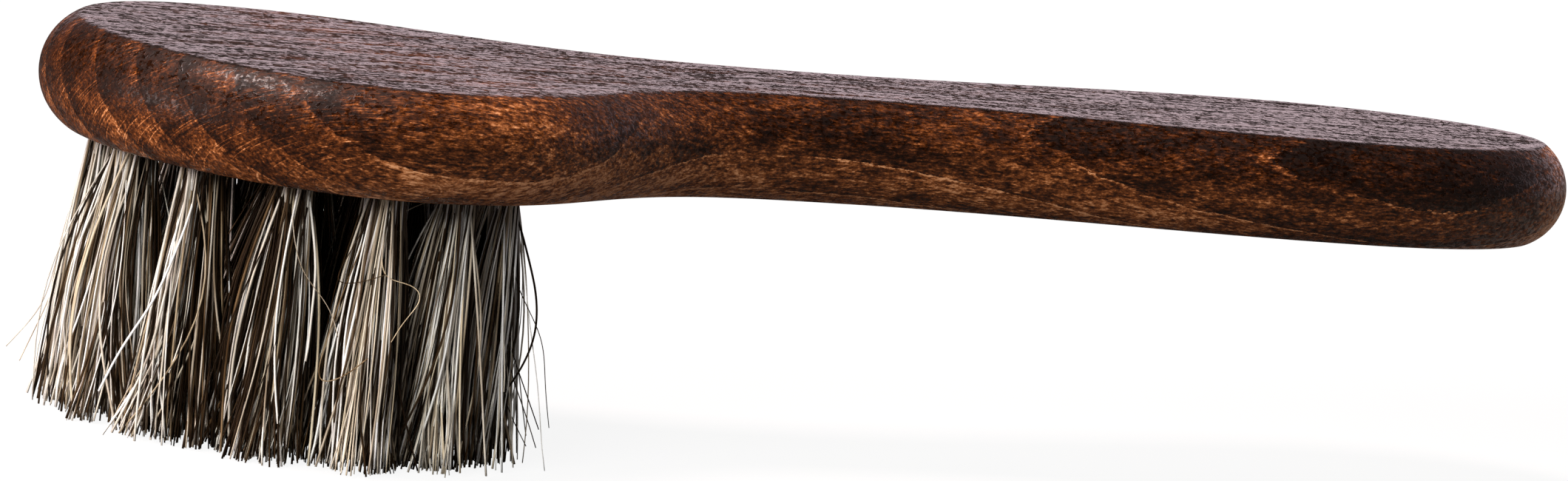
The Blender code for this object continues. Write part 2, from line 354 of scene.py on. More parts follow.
# %% [markdown]
# The side is a shallow arc, sanded by hand, and it meets the flat faces at an edge that looks
# crisp but is really a little worn. A Bevel modifier could soften that edge. Here the profile
# holds it instead, as a short curve between arc and flat, because the rows of points beside it
# can then carry values that the material reads: edge, where the stain is worn thin, and rim,
# the strip of the flat beside the edge that hands have polished.

# %% The side's profile
BULGE_STEPS = 26
EDGE_SOFTNESS = 0.28 * MM
EDGE_STEPS = 4
EDGE_REACH = 0.8 * MM
FLAT_REACH = 2.0 * MM


def side_profile():
    """The upper half of the side from its middle to the flat, as (offset and height, edge)."""
    half = BOARD_THICKNESS / 2
    radius = (half**2 + SIDE_BULGE**2) / (2 * SIDE_BULGE)
    reach = math.acos((radius - SIDE_BULGE) / radius)
    stop = reach - EDGE_SOFTNESS / radius
    rows = []
    for i in range(BULGE_STEPS + 1):
        angle = stop * i / BULGE_STEPS
        place = Vector((radius * (math.cos(angle) - math.cos(reach)), radius * math.sin(angle)))
        distance = (stop - angle) * radius
        rows.append((place, max(0.0, 1 - distance / EDGE_REACH)))
    start, corner, end = rows[-1][0], Vector((0.0, half)), Vector((-EDGE_SOFTNESS, half))
    for i in range(1, EDGE_STEPS + 1):
        t = i / EDGE_STEPS
        rows.append((start * (1 - t) ** 2 + corner * 2 * t * (1 - t) + end * t**2, 1.0))
    rows.append((Vector((-EDGE_REACH, half)), 0.0))
    rows.append((Vector((-FLAT_REACH, half)), 0.0))
    return rows


def whole_profile():
    """From the underside's flat, round the side, to the top's flat."""
    upper = side_profile()
    lower = [(Vector((p.x, -p.y)), edge) for p, edge in reversed(upper[1:])]
    return lower + upper


print("rows round the side:", len(whole_profile()))

# %% [markdown]
# The profile is now carried round the outline. Each row is the outline moved outwards by the
# profile's offset and lifted to its height, and neighbouring rows are bridged with quads. Two
# large faces close the flat top and underside.

# %% Sweep the profile round the outline
def outward(loop, i):
    """The direction square to a closed outline at its point i."""
    along = loop[(i + 1) % len(loop)] - loop[i - 1]
    return Vector((along.y, -along.x)).normalized()


def board_mesh():
    """The board as a closed mesh, with its edge and rim values on each point."""
    bm = bmesh.new()
    edge_layer = bm.verts.layers.float.new("edge")
    rim_layer = bm.verts.layers.float.new("rim")
    normals = [outward(outline, i) for i in range(len(outline))]
    middle = HAIR_LENGTH + BOARD_THICKNESS / 2
    rows = []
    for place, edge in whole_profile():
        row = [bm.verts.new((*(p + n * place.x), middle + place.y)) for p, n in zip(outline, normals)]
        for vert in row:
            vert[edge_layer] = edge
            vert[rim_layer] = float(place.x > -FLAT_REACH)
        rows.append(row)
    for lower, upper in zip(rows, rows[1:]):
        for i, corner in enumerate(lower):
            k = (i + 1) % len(lower)
            bm.faces.new((corner, lower[k], upper[k], upper[i]))
    bm.faces.new(rows[0])
    bm.faces.new(rows[-1])
    bmesh.ops.recalc_face_normals(bm, faces=bm.faces)
    mesh = bpy.data.meshes.new("beech_board")
    bm.to_mesh(mesh)
    bm.free()
    return mesh


board = bpy.data.objects.new("beech_board", board_mesh())
bpy.context.scene.collection.objects.link(board)
print("board faces before drilling:", len(board.data.polygons))

# %% [markdown]
# The holes. An anchor sits across the middle of each hole, so the frame's anchors say where to
# drill. The cutter is all the drillings in one mesh, each a cylinder with the cone that a drill
# leaves, and a second cutter has the slots that the anchors bite into. A Boolean modifier takes
# them away, and its result is kept as a plain mesh.

# %% Where the tufts are
def anchor_of(name):
    """The middle of a tuft's anchor, from the frame."""
    low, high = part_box(name)
    return (low + high) / 2


TUFT_NAMES = sorted(n[len("tuft_"):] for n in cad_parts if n.startswith("tuft_"))
anchors = {name: anchor_of(f"anchor_{name}") for name in TUFT_NAMES}
print("tufts:", len(anchors))

# %% Shapes to cut away
HOLE_RADIUS = 2.1 * MM
HOLE_SKIN = 2.2 * MM
DRILL_CONE = HOLE_RADIUS / math.tan(math.radians(59))
HOLE_DEPTH = BOARD_THICKNESS - HOLE_SKIN - DRILL_CONE
HOLE_SIDES = 28
SLOT_ROOM = 0.3 * MM
OVERCUT = 0.5 * MM


def drillings(bm):
    """A blind drilling for each tuft, from below the underside, with the drill's cone."""
    for centre in anchors.values():
        made = bmesh.ops.create_cone(bm, cap_ends=True, segments=HOLE_SIDES, radius1=HOLE_RADIUS,
                                     radius2=HOLE_RADIUS, depth=OVERCUT + HOLE_DEPTH)["verts"]
        middle = Vector((centre.x, centre.y, HAIR_LENGTH + (HOLE_DEPTH - OVERCUT) / 2))
        bmesh.ops.translate(bm, vec=middle, verts=made)
        tops = [v for v in made if v.co.z > HAIR_LENGTH + HOLE_DEPTH - OVERCUT / 2]
        cap = next(f for f in tops[0].link_faces if all(v in tops for v in f.verts))
        point = bmesh.ops.poke(bm, faces=[cap])["verts"][0]
        point.co.z += DRILL_CONE


def anchor_slots(bm):
    """The slot that each anchor sits in, with a little room all round."""
    for name in TUFT_NAMES:
        low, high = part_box(f"anchor_{name}")
        corners = bmesh.ops.create_cube(bm, size=1.0)["verts"]
        bmesh.ops.scale(bm, vec=(high - low) + Vector((2, 2, 2)) * SLOT_ROOM, verts=corners)
        bmesh.ops.translate(bm, vec=(low + high) / 2, verts=corners)


print("depth of a hole to its cone:", round(HOLE_DEPTH / MM, 2), "mm")

# %% Drill the board
def take_away(body, fill_cutter):
    """Cuts a shape out of a body with a Boolean, and keeps the result as a plain mesh."""
    bm = bmesh.new()
    fill_cutter(bm)
    bmesh.ops.recalc_face_normals(bm, faces=bm.faces)
    mesh = bpy.data.meshes.new("cutter")
    bm.to_mesh(mesh)
    bm.free()
    cutter = bpy.data.objects.new("cutter", mesh)
    bpy.context.scene.collection.objects.link(cutter)
    cut = body.modifiers.new("cut", "BOOLEAN")
    cut.operation = "DIFFERENCE"
    cut.solver = "EXACT"
    cut.object = cutter
    result = bpy.data.meshes.new_from_object(body.evaluated_get(bpy.context.evaluated_depsgraph_get()))
    body.modifiers.remove(cut)
    body.data = result
    bpy.data.objects.remove(cutter)


take_away(board, drillings)
take_away(board, anchor_slots)
board.data.shade_smooth()
board.data.set_sharp_from_angle(angle=math.radians(30))
board.data.name = "beech_board"
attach(board, "root")
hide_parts("handle_board")
print("board faces after drilling:", len(board.data.polygons))

# %% [markdown]
# Stained beech. A tree's rings are cylinders round its pith, and a board is a cut through them.
# If the material works out each point's distance from the pith, the bands on the head's end
# grain and the hills along the handle all come out by themselves, from one log. The pith of
# this board lay on the near side, high above it, and the rings are nearly four millimetres wide.
#
# So first, a few nodes turn a place in the board into a place in the log: how far from the pith,
# how far round it, and how far along the trunk.

# %% Places in the object, and values that its mesh carries
def stretched(tree, vector, scale):
    """The same place with each axis multiplied, so that a pattern is longer one way."""
    return add(tree, "ShaderNodeVectorMath", {"operation": "MULTIPLY"}, _0=vector, _1=scale).outputs[0]


def place_in_mm(tree):
    """Where a point of the object is, in millimetres."""
    here = add(tree, "ShaderNodeTexCoord").outputs["Object"]
    return stretched(tree, here, (1 / MM, 1 / MM, 1 / MM))


def stored(tree, name):
    """A value that the mesh carries on its points."""
    return add(tree, "ShaderNodeAttribute", {"attribute_name": name}).outputs["Fac"]


# %% Places in the log
PITH_Y = -120.9
PITH_Z = 121.6
PITH_Y_DRIFT = -0.035
PITH_Z_DRIFT = -0.166


def log_place(tree, place):
    """A place in millimetres as (from the pith, round it, along the trunk)."""
    x, y, z = add(tree, "ShaderNodeSeparateXYZ", None, Vector=place).outputs
    y = maths(tree, "SUBTRACT", y, maths(tree, "MULTIPLY_ADD", x, PITH_Y_DRIFT, PITH_Y))
    z = maths(tree, "SUBTRACT", z, maths(tree, "MULTIPLY_ADD", x, PITH_Z_DRIFT, PITH_Z))
    radius = maths(tree, "SQRT", maths(tree, "MULTIPLY_ADD", y, y, times(tree, z, z)))
    angle = maths(tree, "ARCTAN2", y, maths(tree, "MULTIPLY", z, -1.0))
    mean_radius = math.hypot(PITH_Y, PITH_Z - (HAIR_LENGTH + BOARD_THICKNESS / 2) / MM)
    around = maths(tree, "MULTIPLY", angle, mean_radius)
    return add(tree, "ShaderNodeCombineXYZ", None, X=radius, Y=around, Z=x).outputs[0]


print("the pith lies", round(math.hypot(PITH_Y, PITH_Z)), "mm from the middle of the brush")

# %% [markdown]
# A shader node group makes soft blotches. Stain soaks in unevenly, and hair and wire have uneven
# tones too, so all three materials use it, each with its own stretch and contrast.

# %% Group: uneven tone
def new_group(name, inputs, outputs):
    """A shader node group with named sockets, and its input and output nodes."""
    group = bpy.data.node_groups.new(name, "ShaderNodeTree")
    for socket, kind, value in inputs:
        made = group.interface.new_socket(socket, in_out="INPUT", socket_type=kind)
        if value is not None:
            made.default_value = value
    for socket, kind in outputs:
        group.interface.new_socket(socket, in_out="OUTPUT", socket_type=kind)
    return group, group.nodes.new("NodeGroupInput").outputs, group.nodes.new("NodeGroupOutput").inputs


def uneven_tone():
    """A node group: a mask from 0 to 1 that comes and goes in soft patches."""
    inputs = [("Place", "NodeSocketVector", None), ("Stretch", "NodeSocketVector", (1, 1, 1)),
              ("Detail", "NodeSocketFloat", 3.0), ("Low", "NodeSocketFloat", 0.4),
              ("High", "NodeSocketFloat", 0.6)]
    group, given, result = new_group("uneven_tone", inputs, [("Mask", "NodeSocketFloat")])
    place = stretched(group, given["Place"], given["Stretch"])
    value = add(group, "ShaderNodeTexNoise", None, Vector=place, Scale=1.0, Detail=given["Detail"],
                Roughness=0.6).outputs["Fac"]
    group.links.new(spread(group, value, given["Low"], given["High"]), result["Mask"])
    return group


tone_group = uneven_tone()
print("group:", tone_group.name, len(tone_group.nodes), "nodes")


# %% Place the group, and a plain noise
def tone(tree, place, stretch, low, high, detail=3.0):
    """An uneven_tone group placed in a material, with its own values."""
    made = add(tree, "ShaderNodeGroup", {"node_tree": tone_group}, Place=place, Low=low, High=high,
               Detail=detail, Stretch=stretch)
    return made.outputs["Mask"]


def noise(tree, place, stretch, detail=2.0, roughness=0.5, distortion=0.0):
    """A Noise texture's value, with its own stretch."""
    made = add(tree, "ShaderNodeTexNoise", None, Vector=stretched(tree, place, stretch), Scale=1.0,
               Detail=detail, Roughness=roughness, Distortion=distortion)
    return made.outputs["Fac"]


# %% [markdown]
# Rings. Each year's ring ends in dark late wood, and the next year starts with a thin pale line.
# A sine wave over the distance from the pith would draw them, but as smooth as ink. So the
# distance is moved about by noise before it is cut into years: a slow noise makes the rings
# wander, and a quick one makes them ragged.

# %% Rings
RING_WIDTH = 3.85
FIRST_RING = 136.4
RING_SWING = 0.5
SWING_RATE = 0.3142
SWING_START = -44.45
RAGGED = 0.65
WANDER = 1.6


def ring_phase(tree, place, radius):
    """How far through its year's ring a point is, from 0 to 1."""
    swing = maths(tree, "COSINE", maths(tree, "MULTIPLY_ADD", radius, SWING_RATE, SWING_START))
    ragged = noise(tree, place, (0.45, 2.4, 2.4), detail=5.0, roughness=0.7)
    wander = noise(tree, place, (0.05, 0.12, 0.12), detail=2.0)
    moved = weighed(tree, radius, (-RING_SWING, swing), (RAGGED, ragged), (WANDER, wander))
    offset = -(FIRST_RING + (RAGGED + WANDER) / 2) / RING_WIDTH
    return maths(tree, "FRACT", maths(tree, "MULTIPLY_ADD", moved, 1 / RING_WIDTH, offset))


def ring_marks(tree, place, radius, along, height):
    """Masks for late wood, early wood, and the pale line between two years."""
    phase = ring_phase(tree, place, radius)
    rings_show = tone(tree, place, (0.05, 0.13, 0.13), 0.30, 0.52)
    late = times(tree, spread(tree, phase, 0.40, 0.98), rings_show)
    early = times(tree, spread(tree, phase, 0.55, 0.0), rings_show)
    thinner_on_handle = spread(tree, along, -40.0, -62.0, 0.060, 0.13)
    line = spread(tree, maths(tree, "DIVIDE", phase, thinner_on_handle), 1.0, 0.15)
    hatched = spread(tree, noise(tree, place, (1.3, 7.0, 7.0), detail=2.0), 0.34, 0.58)
    fainter_on_head = spread(tree, along, -84.0, -20.0, 0.28, 1.0)
    fainter_above = spread(tree, height, 31.5, 29.5, 0.6, 1.0)
    return late, early, times(tree, line, rings_show, hatched, fainter_on_head, fainter_above)


print("ring width:", RING_WIDTH, "mm")


# %% [markdown]
# Rays run out from the pith like spokes. Where the head's round end cuts across them they show
# as short pale and dark strokes, and elsewhere only as the small flecks that beech is known for.
# They come from a noise in log places, stretched along the spokes.

# %% Rays
def ray_marks(tree, log, along):
    """Masks for pale rays, dark rays, and flecks."""
    rays = noise(tree, log, (0.24, 9.0, 0.45), detail=0.0)
    end_grain = spread(tree, along, -46.0, -66.0)
    pale = times(tree, spread(tree, rays, 0.690, 0.740), end_grain)
    dark = times(tree, spread(tree, rays, 0.320, 0.270), end_grain)
    flecks = noise(tree, log, (1.3, 5.5, 1.0), detail=3.0, roughness=0.6)
    return pale, dark, flecks


# %% [markdown]
# Stain doesn't take the same everywhere. It soaks deep into the end grain at the head's tip and
# lies thick on the flats and along the grip. The upper side is darker, as painted shade. The
# lower half of the side has more bare streaks, stronger there as painted light from the floor.
# The shoulder is paler as painted light, and the handle's end face paler as a painted sheen.
# Each part of the board gets a soft mask, from how far along it a point is and how high.

# %% Parts of the board
def board_parts(tree, along, height):
    """Masks by name, from the place along the board and above the trim, in millimetres."""
    top = spread(tree, height, 34.8, 34.98)
    underside = spread(tree, height, 25.2, 25.02)
    on_flat = maths(tree, "MAXIMUM", top, underside)
    lower_half = spread(tree, height, 32.0, 27.0)
    upper_half = maths(tree, "SUBTRACT", 1.0, lower_half)
    on_side = maths(tree, "SUBTRACT", 1.0, on_flat)
    past_head = spread(tree, along, -52.0, -38.0)
    shoulder_starts = spread(tree, along, -62.0, -46.0)
    shoulder_stops = spread(tree, along, -12.0, -30.0)
    return {
        "flat": on_flat,
        "lower_half": lower_half,
        # Painted shade: the upper side is darker.
        "painted_shade_above": times(tree, upper_half, past_head),
        "handle": spread(tree, along, -38.0, -10.0),
        "soaked": spread(tree, along, -48.0, -84.0),
        # Painted light: the shoulder is paler.
        "shoulder": times(tree, shoulder_starts, shoulder_stops),
        "grip": spread(tree, along, 10.0, 60.0),
        # Painted sheen: the handle's end face is paler.
        "end_face_painted_sheen": times(tree, spread(tree, along, 73.0, 82.5), on_side),
    }


# %% [markdown]
# Now the colour. One number says how much orange wood shows at a place, from 0 where the stain
# lies thick to 1.2 where it barely took, and a ramp turns it into a colour. Each feature adds to
# that number or takes from it, so they mix as they do in wood. Mixing colours instead would need
# a colour for every pair of features. The weights come from comparing one region after another
# with the photo: first how bright it is, and then how strong its marks are.

# %% The stain as one number
STAIN_START = 0.12
WORN_EDGE = 0.30
FINE_MIDDLE = -0.99


def fine_marks(tree, place, fibre, soaked):
    """Fibres and pores, light and dark, and calmer in the soaked end grain."""
    speckle = noise(tree, place, (2.6, 6.5, 6.5), detail=2.0, roughness=0.6)
    fine = weighed(tree, FINE_MIDDLE, (1.30, fibre), (0.68, speckle))
    return times(tree, fine, maths(tree, "MULTIPLY_ADD", soaked, -0.36, 1.36))


def orange_wood(tree, place, fibre, part):
    """How much orange wood shows at a place."""
    log = log_place(tree, place)
    radius = add(tree, "ShaderNodeSeparateXYZ", None, Vector=log).outputs["X"]
    along, _, height = add(tree, "ShaderNodeSeparateXYZ", None, Vector=place).outputs
    late, early, line = ring_marks(tree, place, radius, along, height)
    pale_rays, dark_rays, flecks = ray_marks(tree, log, along)
    patch = tone(tree, place, (0.085, 0.24, 0.30), 0.42, 0.62, 4.0)
    mottle = noise(tree, place, (0.30, 0.90, 0.90), detail=3.0, roughness=0.6)
    streak = noise(tree, place, (0.45, 4.2, 4.2), detail=2.0, roughness=0.6)
    less_on_handle = maths(tree, "MULTIPLY_ADD", part["handle"], -0.25, 1.0)
    # Real streaks, made stronger on the lower half as painted light from the floor.
    low_streaks_and_painted_light = times(tree, streak, part["lower_half"], less_on_handle)
    fine = fine_marks(tree, place, fibre, part["soaked"])
    worn = times(tree, spread(tree, stored(tree, "edge"), 0.78, 1.0),
                 tone(tree, place, (0.3, 0.7, 0.7), 0.45, 0.7))
    # Painted light and shade among the stain: paler lower-half streaks, shoulder and end face, and a darker
    # upper side.
    return weighed(
        tree, STAIN_START, (0.17, patch), (0.60, mottle), (0.16, flecks), (1.0, fine),
        (-0.16, late), (0.07, early), (0.46, line), (0.30, pale_rays), (-0.18, dark_rays),
        (0.62, low_streaks_and_painted_light), (-0.27, part["soaked"]), (0.07, part["shoulder"]), (-0.20, part["grip"]),
        (-0.28, part["flat"]), (-0.16, part["painted_shade_above"]), (0.70, part["end_face_painted_sheen"]), (WORN_EDGE, worn))


# %% [markdown]
# The varnish is thin. The stain raised the grain before it went on, so the surface is a relief
# of fine creases, twice as deep on the flats as on the side. It also sank into the grain
# unevenly: on the flats, which the photo shows at a low angle, dull hollows lie between glossy
# ridges, and that pattern of gloss makes the top look silvery and streaked. Hands have polished
# the rim of the grip in places, so it catches a thin bright line. A Bump node shows such a
# relief well, since it is much finer than any outline.

# %% Relief and gloss
RELIEF_DEPTH = 0.06 * MM
RELIEF_MIDDLE = -0.98
POLISHED_ROUGHNESS = 0.12
VARNISH_IOR = 1.40


def blend(tree, share, a, b):
    """Mixes two numbers. share is how much of b there is."""
    return add(tree, "ShaderNodeMix", {"data_type": "FLOAT"}, _0=share, _2=a, _3=b).outputs[0]


def varnish(tree, shader, place, fibre, part):
    """Gives the shader its relief and its uneven gloss."""
    wrinkle = noise(tree, place, (1.5, 2.1, 2.1), detail=4.0, roughness=0.60, distortion=0.7)
    furrow = noise(tree, place, (0.10, 1.9, 1.9), detail=3.0, roughness=0.6)
    crease = spread(tree, maths(tree, "ABSOLUTE", maths(tree, "SUBTRACT", wrinkle, 0.5)), 0.0, 0.06)
    rim = spread(tree, stored(tree, "rim"), 0.40, 0.95)
    in_places = spread(tree, wrinkle, 0.42, 0.50, 0.2, 1.0)
    polished = times(tree, rim, part["flat"], part["handle"], in_places)

    relief = weighed(tree, RELIEF_MIDDLE, (1.0, wrinkle), (0.10, crease), (0.3, fibre), (0.5, furrow))
    deeper_on_flat = maths(tree, "MULTIPLY_ADD", part["flat"], 1.0, 1.0)
    smoother_at_rim = maths(tree, "MULTIPLY_ADD", polished, -0.6, 1.0)
    relief = times(tree, relief, deeper_on_flat, smoother_at_rim)
    bump = add(tree, "ShaderNodeBump", None, Height=relief, Strength=1.0, Distance=RELIEF_DEPTH)
    tree.links.new(bump.outputs["Normal"], shader.inputs["Normal"])

    side_gloss = spread(tree, wrinkle, 0.41, 0.59, 0.68, 0.24)
    ridges = weighed(tree, 0.0, (1.0, wrinkle), (0.7, furrow))
    flat_gloss = spread(tree, ridges, 0.785, 0.895, 1.00, 0.05)
    gloss = blend(tree, part["flat"], side_gloss, flat_gloss)
    gloss = blend(tree, polished, gloss, POLISHED_ROUGHNESS)
    tree.links.new(gloss, shader.inputs["Roughness"])
    shader.inputs["IOR"].default_value = VARNISH_IOR


# %% Material: stained beech
BARE_WOOD = 1.20
STAIN_COLOURS = ((0.00, (0.0045, 0.0014, 0.0005)), (0.21, (0.0130, 0.0036, 0.0010)),
                 (0.375, (0.0360, 0.0094, 0.0024)), (0.54, (0.1000, 0.0275, 0.0064)),
                 (0.69, (0.2350, 0.0700, 0.0180)), (0.83, (0.4700, 0.1720, 0.0580)),
                 (1.00, (0.8000, 0.3800, 0.1800)))


def ramp(tree, value, stops):
    """A colour ramp from (place, colour) stops."""
    made = add(tree, "ShaderNodeValToRGB", None, Fac=value)
    points = made.color_ramp.elements
    while len(points) < len(stops):
        points.new(0.5)
    for point, (at, colour) in zip(points, stops):
        point.position = at
        point.color = (*colour, 1)
    return made.outputs["Color"]


def stained_beech():
    """Dark varnished beech."""
    material, tree, shader = new_material("stained_beech")
    place = place_in_mm(tree)
    along, _, height = add(tree, "ShaderNodeSeparateXYZ", None, Vector=place).outputs
    part = board_parts(tree, along, height)
    fibre = noise(tree, place, (0.85, 3.6, 3.6), detail=3.0, roughness=0.65)
    orange = orange_wood(tree, place, fibre, part)
    shade = ramp(tree, maths(tree, "DIVIDE", orange, BARE_WOOD), STAIN_COLOURS)
    tree.links.new(shade, shader.inputs["Base Color"])
    varnish(tree, shader, place, fibre, part)
    return material


board.data.materials.clear()
board.data.materials.append(stained_beech())
print("nodes in the beech:", len(board.data.materials[0].node_tree.nodes))

# %% [markdown]
# The hair. A brush maker takes a bundle of horsehair, folds it in half over a short wire and
# drives the fold into a hole. So each hair here is one long tube with both ends at the trim: it
# runs up from one tip into the hole, over the anchor, and down to the other tip. Particle hair
# would be quicker to make, but a mesh has true thickness from every side and travels to any
# other program. The hairs of a tuft don't fan out one by one either. They cling in locks, so a
# lock gets its own path and tone, and its hairs differ from it a little. The locks are set out
# like the seeds of a sunflower, each one golden angle on from the last, which fills a round
# hole evenly.

# %% The locks of a tuft
LOCKS_PER_TUFT = 24
GOLDEN_ANGLE = 2.39996
ROOT_REACH = 1.90 * MM
LOCK_ROOT_SHARE = 0.90
TIP_REACH = 4.60 * MM
LOCK_TIP_SHARE = 0.95
REAR_LEAN = 0.50 * MM
OUTWARD_LEAN = -0.70 * MM
LOCK_SCATTER = 0.85 * MM
LOCK_WAVE = 0.50 * MM
LOCK_TONE_SPREAD = 0.25

centre_of_head = anchors["centre"]


def lean_of(name, centre):
    """How far a tuft's tips lie from straight below its hole."""
    lean = np.array([REAR_LEAN, 0.0])
    if name.startswith("outer"):
        away = (centre - centre_of_head).normalized()
        lean = lean + OUTWARD_LEAN * np.array([away.x, away.y])
    return lean


def make_locks(chance, name, centre):
    """For each lock of a tuft: where it leaves the hole, where it ends, its wave and its tone."""
    share = np.sqrt((np.arange(LOCKS_PER_TUFT) + 0.5) / LOCKS_PER_TUFT)
    angle = np.arange(LOCKS_PER_TUFT) * GOLDEN_ANGLE + chance.uniform(0, 2 * np.pi)
    way = np.stack([np.cos(angle), np.sin(angle)], 1)
    root = way * share[:, None] * ROOT_REACH * LOCK_ROOT_SHARE
    end = way * share[:, None] * TIP_REACH * LOCK_TIP_SHARE + lean_of(name, centre)
    end += chance.normal(0, LOCK_SCATTER, (LOCKS_PER_TUFT, 2))
    wave = chance.normal(0, LOCK_WAVE, (LOCKS_PER_TUFT, 2))
    lock_tone = chance.normal(0.0, LOCK_TONE_SPREAD, LOCKS_PER_TUFT)
    return {"root": root, "end": end, "wave": wave, "tone": lock_tone}


print("locks in all:", LOCKS_PER_TUFT * len(anchors))

# %% [markdown]
# From the mouth of the hole to the trim a hair opens out, bows with its lock and ripples a
# little. A few stray from their lock, and a few are broken off short. The trim is cut with
# shears, so most tips end within half a millimetre of each other.

# %% From the hole to the trim
LEG_STEPS = 14
FAN_OF_LOCK = 1.2
HAIR_SCATTER = 0.62 * MM
STRAY_SHARE = 0.08
STRAY_SCATTER = 1.7 * MM
STRAY_BOW = 1.8
TRIM_SCATTER = 0.36 * MM
BROKEN_SHARE = 0.11
BROKEN_OFF = (0.5 * MM, 9 * MM)
LATE_OPENING = 0.15
HAIR_BOW = 0.42 * MM
RIPPLE = 0.15 * MM
RIPPLES_PER_HAIR = (0.8, 2.0)


def make_legs(chance, root, lock, locks):
    """The visible paths of some hairs from the mouth of the hole to the trim, as points."""
    count = len(root)
    from_lock = root - locks["root"][lock]
    end = locks["end"][lock] + from_lock * FAN_OF_LOCK + chance.normal(0, HAIR_SCATTER, (count, 2))
    stray = chance.random(count) < STRAY_SHARE
    end[stray] += chance.normal(0, STRAY_SCATTER, (stray.sum(), 2))
    short = chance.exponential(TRIM_SCATTER, count)
    broken = chance.random(count) < BROKEN_SHARE
    short[broken] += chance.uniform(*BROKEN_OFF, broken.sum())
    t = np.linspace(0, 1, LEG_STEPS)
    opening = (1 - LATE_OPENING) * t + LATE_OPENING * t**2
    bend = np.sin(np.pi * t)[None, :, None]
    bow = locks["wave"][lock] + chance.normal(0, HAIR_BOW, (count, 2))
    bow[stray] *= STRAY_BOW
    ripple_way = chance.normal(0, RIPPLE, (count, 2))
    ripple = np.sin(2 * np.pi * (t[None, :] * chance.uniform(*RIPPLES_PER_HAIR, count)[:, None]
                                 + chance.random(count)[:, None])) * t[None, :]
    flat = root[:, None, :] + (end - root)[:, None, :] * opening[None, :, None]
    flat = flat + bow[:, None, :] * bend + ripple_way[:, None, :] * ripple[:, :, None]
    cut = 1 - short / HAIR_LENGTH
    flat = root[:, None, :] + (flat - root[:, None, :]) * cut[:, None, None]
    height = HAIR_LENGTH * (1 - t[None, :] * cut[:, None])
    return np.concatenate([flat, height[:, :, None]], 2)


print("in a hundred hairs,", round(100 * STRAY_SHARE), "stray and", round(100 * BROKEN_SHARE), "are broken")

# %% [markdown]
# Now the fold. Inside the hole both legs go straight up and meet in a half circle over the
# anchor, which lies along X, so a hair bends only in Y and Z.

# %% Fold the hairs over their anchor
FOLD_HEIGHT = 4.9 * MM
FOLD_STEPS = 5


def fold_hairs(first_leg, second_leg):
    """Joins two legs into one path: tip, mouth, fold, mouth, tip."""
    half_gap = (second_leg[:, 0, 1] - first_leg[:, 0, 1]) / 2
    middle = (first_leg[:, 0] + second_leg[:, 0]) / 2
    rows = []
    for i in range(FOLD_STEPS):
        angle = math.pi * i / (FOLD_STEPS - 1)
        row = middle.copy()
        row[:, 1] -= half_gap * math.cos(angle)
        row[:, 2] = HAIR_LENGTH + FOLD_HEIGHT + np.abs(half_gap) * math.sin(angle)
        rows.append(row)
    return np.concatenate([first_leg[:, ::-1], np.stack(rows, 1), second_leg], 1)


print("points along a hair:", 2 * LEG_STEPS + FOLD_STEPS)

# %% [markdown]
# A path becomes a tube by standing a small square on it at each point. The square is turned to
# face along the hair, with X as its fixed side, because no hair here runs along X. Each hair
# also gets a strip of its own in the UV map, so that its colour can be stored in an image, and
# three values that the material reads: its tone, its warmth, and how near each point is to a
# tip.

# %% Stand squares along the paths
HAIR_SIDES = 4
TIP_TAPER = 0.12


def tube_points(paths, reach, width):
    """The corners of a small square at each point of each path."""
    along = np.gradient(paths, axis=1)
    along /= np.linalg.norm(along, axis=2, keepdims=True)
    side = np.array([1.0, 0, 0]) - along * along[:, :, :1]
    side /= np.linalg.norm(side, axis=2, keepdims=True)
    other = np.cross(along, side)
    radius = width[:, None] / 2 * (1 - TIP_TAPER * reach[None, :] ** 3)
    turns = 2 * np.pi * (np.arange(HAIR_SIDES) + 0.5) / HAIR_SIDES
    ring = (side[:, :, None] * np.cos(turns)[:, None] + other[:, :, None] * np.sin(turns)[:, None])
    return (paths[:, :, None] + ring * radius[:, :, None, None]).reshape(-1, 3)


# %% The faces of a bundle of tubes, and their places in the UV map
def tube_grid(count, steps):
    """For each quad of each tube: its hair, its step along the hair, and its side."""
    return np.meshgrid(range(count), range(steps - 1), range(HAIR_SIDES), indexing="ij")


def tube_faces(count, steps):
    """The quads of all tubes, then a cap for each first end and for each last end."""
    hair, step, k = tube_grid(count, steps)
    start = (hair * steps + step) * HAIR_SIDES
    turned = (k + 1) % HAIR_SIDES
    quads = np.stack([start + k, start + turned, start + HAIR_SIDES + turned, start + HAIR_SIDES + k], -1)
    first = np.arange(count)[:, None] * steps * HAIR_SIDES
    last = first + (steps - 1) * HAIR_SIDES
    caps = [first + np.arange(HAIR_SIDES)[::-1], last + np.arange(HAIR_SIDES)]
    return np.concatenate([quads.reshape(-1, 4)] + caps)


def tube_uv(count, steps):
    """The corners of the same faces in the UV map, where each hair has its own strip."""
    hair, step, k = tube_grid(count, steps)
    strip = (hair + k / HAIR_SIDES) / count
    next_strip = (hair + (k + 1) / HAIR_SIDES) / count
    low, high = step / (steps - 1), (step + 1) / (steps - 1)
    corners = np.stack([np.stack([strip, low], -1), np.stack([next_strip, low], -1),
                        np.stack([next_strip, high], -1), np.stack([strip, high], -1)], -2)
    cap_uv = np.zeros((2 * count * HAIR_SIDES, 2))
    cap_uv[:, 0] = np.repeat(np.tile((np.arange(count) + 0.5) / count, 2), HAIR_SIDES)
    cap_uv[:, 1] = np.repeat([0.0, 1.0], count * HAIR_SIDES)
    return np.concatenate([corners.reshape(-1, 2), cap_uv]).ravel().astype(np.float32)


print("faces of one hair:", len(tube_faces(1, 2 * LEG_STEPS + FOLD_STEPS)))


